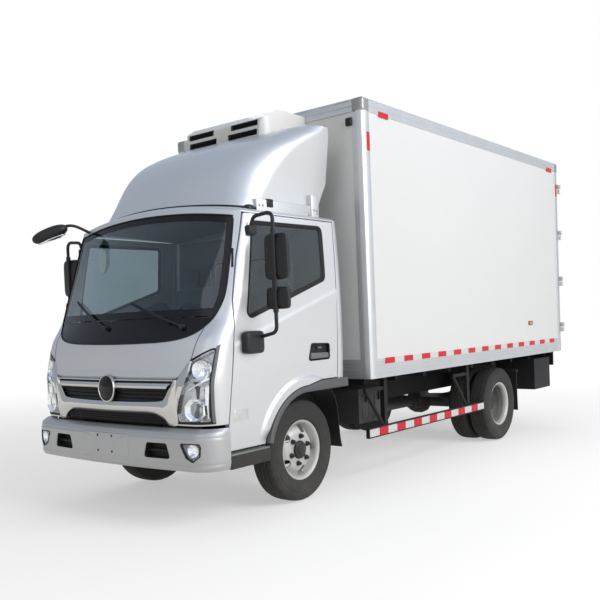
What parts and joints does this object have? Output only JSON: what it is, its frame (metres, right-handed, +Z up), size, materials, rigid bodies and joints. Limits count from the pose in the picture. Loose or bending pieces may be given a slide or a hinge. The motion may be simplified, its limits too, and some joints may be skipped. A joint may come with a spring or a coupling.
{
  "type": "refrigerated truck",
  "caption": "Light cab-over refrigerated truck: tilting cab with hinged doors and roof deflector, insulated cargo box with swing rear doors, front cooling unit, twin rear wheels.",
  "frame": {"origin": "on the ground, at the middle of the bounding box's base", "axes": "+Y runs from the bumper to the rear doors, +X is the vehicle's left, +Z is up"},
  "size_m": [2.476, 6.133, 3.113],
  "materials": {
    "steel_dark": "satin black chassis paint",
    "paint_silver": "metallic silver clear coat",
    "paint_champagne": "metallic champagne clear coat",
    "glass_tinted": "tinted safety glass",
    "plastic_black": "black moulded plastic",
    "plastic_grey": "grey moulded plastic",
    "tyre": "matt rubber",
    "wheel_silver": "silver wheel paint",
    "panel_white": "white gel coat",
    "aluminium": "bare extrusion",
    "lamp_clear": "clear lamp cover over a reflector",
    "lamp_red": "red lamp cover",
    "seat_fabric": "woven cloth",
    "engine_cast": "cast block, dusty"
  },
  "bodies": {
    "chassis": {"frame": "steel_dark", "front_axle": "steel_dark", "rear_axle": "steel_dark", "powertrain": "engine_cast", "fuel_tank": "aluminium", "battery_box": "steel_dark", "side_guards": "steel_dark", "rear_underrun": "steel_dark", "tail_lamps": "lamp_red", "mud_flaps": "plastic_black", "front_bumper": "paint_champagne", "fog_lamps": "lamp_clear", "steps": "plastic_black", "box_floor": "aluminium", "box_left_wall": "panel_white", "box_right_wall": "panel_white", "box_front_wall": "panel_white", "box_roof": "panel_white", "box_rear_frame": "aluminium", "cooling_unit": "panel_white"},
    "cab": {"cab_floor": "steel_dark", "cab_front": "paint_silver", "cab_rear_wall": "paint_silver", "cab_roof": "paint_silver", "windscreen": "glass_tinted", "cowl_panel": "plastic_black", "grille": "plastic_black", "headlamps": "lamp_clear", "deflector": "paint_silver", "front_mirror": "plastic_black", "arch_trims": "plastic_grey", "dashboard": "plastic_black", "seats": "seat_fabric"},
    "steering_wheel": {"steering_wheel": "plastic_black"},
    "door_left": {"door_left": "paint_silver", "door_glass_left": "glass_tinted", "mirror_left": "plastic_black"},
    "door_right": {"door_right": "paint_silver", "door_glass_right": "glass_tinted", "mirror_right": "plastic_black"},
    "knuckle_left": {"knuckle_left": "steel_dark"},
    "knuckle_right": {"knuckle_right": "steel_dark"},
    "tie_rod": {"tie_rod": "steel_dark"},
    "wheel_front_left": {"front_tyre_left": "tyre", "front_rim_left": "wheel_silver"},
    "wheel_front_right": {"front_tyre_right": "tyre", "front_rim_right": "wheel_silver"},
    "wheel_rear_left": {"rear_tyre_left_outer": "tyre", "rear_tyre_left_inner": "tyre", "rear_rim_left": "wheel_silver"},
    "wheel_rear_right": {"rear_tyre_right_outer": "tyre", "rear_tyre_right_inner": "tyre", "rear_rim_right": "wheel_silver"},
    "rear_door_left": {"rear_door_left": "panel_white"},
    "rear_door_right": {"rear_door_right": "panel_white"}
  },
  "joints": [
    {"name": "cab_tilt", "type": "hinge", "parent": "chassis", "child": "cab", "pos_m": [0, -2.9915, 0.685], "axis": [1, 0, 0], "range_deg": [0, 45]},
    {"name": "door_left_swing", "type": "hinge", "parent": "cab", "child": "door_left", "pos_m": [0.956, -2.7865, 1.2], "axis": [0, 0, -1], "range_deg": [0, 70]},
    {"name": "door_right_swing", "type": "hinge", "parent": "cab", "child": "door_right", "pos_m": [-0.956, -2.7865, 1.2], "axis": [0, 0, 1], "range_deg": [0, 70]},
    {"name": "steer_left", "type": "hinge", "parent": "chassis", "child": "knuckle_left", "pos_m": [0.66, -1.9165, 0.385], "axis": [0, 0, 1], "range_deg": [-36, 36]},
    {"name": "steer_right", "type": "hinge", "parent": "chassis", "child": "knuckle_right", "pos_m": [-0.66, -1.9165, 0.385], "axis": [0, 0, 1], "range_deg": [-36, 36]},
    {"name": "tie_rod_swing", "type": "hinge", "parent": "knuckle_left", "child": "tie_rod", "pos_m": [0.66, -1.7465, 0.3], "axis": [0, 0, 1], "range_deg": [-36, 36]},
    {"name": "steering_wheel_turn", "type": "hinge", "parent": "cab", "child": "steering_wheel", "pos_m": [0.42, -2.4265, 1.395], "axis": [0, 0.5299, 0.848], "range_deg": [-648, 648]},
    {"name": "wheel_front_left_spin", "type": "hinge", "parent": "knuckle_left", "child": "wheel_front_left", "pos_m": [0.787, -1.9165, 0.385], "axis": [1, 0, 0], "continuous": true},
    {"name": "wheel_front_right_spin", "type": "hinge", "parent": "knuckle_right", "child": "wheel_front_right", "pos_m": [-0.787, -1.9165, 0.385], "axis": [1, 0, 0], "continuous": true},
    {"name": "wheel_rear_left_spin", "type": "hinge", "parent": "chassis", "child": "wheel_rear_left", "pos_m": [0.7745, 1.3915, 0.385], "axis": [1, 0, 0], "continuous": true},
    {"name": "wheel_rear_right_spin", "type": "hinge", "parent": "chassis", "child": "wheel_rear_right", "pos_m": [-0.7745, 1.3915, 0.385], "axis": [1, 0, 0], "continuous": true},
    {"name": "rear_door_left_swing", "type": "hinge", "parent": "chassis", "child": "rear_door_left", "pos_m": [1.087, 3.0545, 2], "axis": [0, 0, -1], "range_deg": [0, 270]},
    {"name": "rear_door_right_swing", "type": "hinge", "parent": "chassis", "child": "rear_door_right", "pos_m": [-1.087, 3.0545, 2], "axis": [0, 0, 1], "range_deg": [0, 270]}
  ],
  "couplings": [
    {"joint": "steer_right", "follows": "steer_left", "ratio": 1},
    {"joint": "tie_rod_swing", "follows": "steer_left", "ratio": -1},
    {"joint": "steering_wheel_turn", "follows": "steer_left", "ratio": 18}
  ]
}
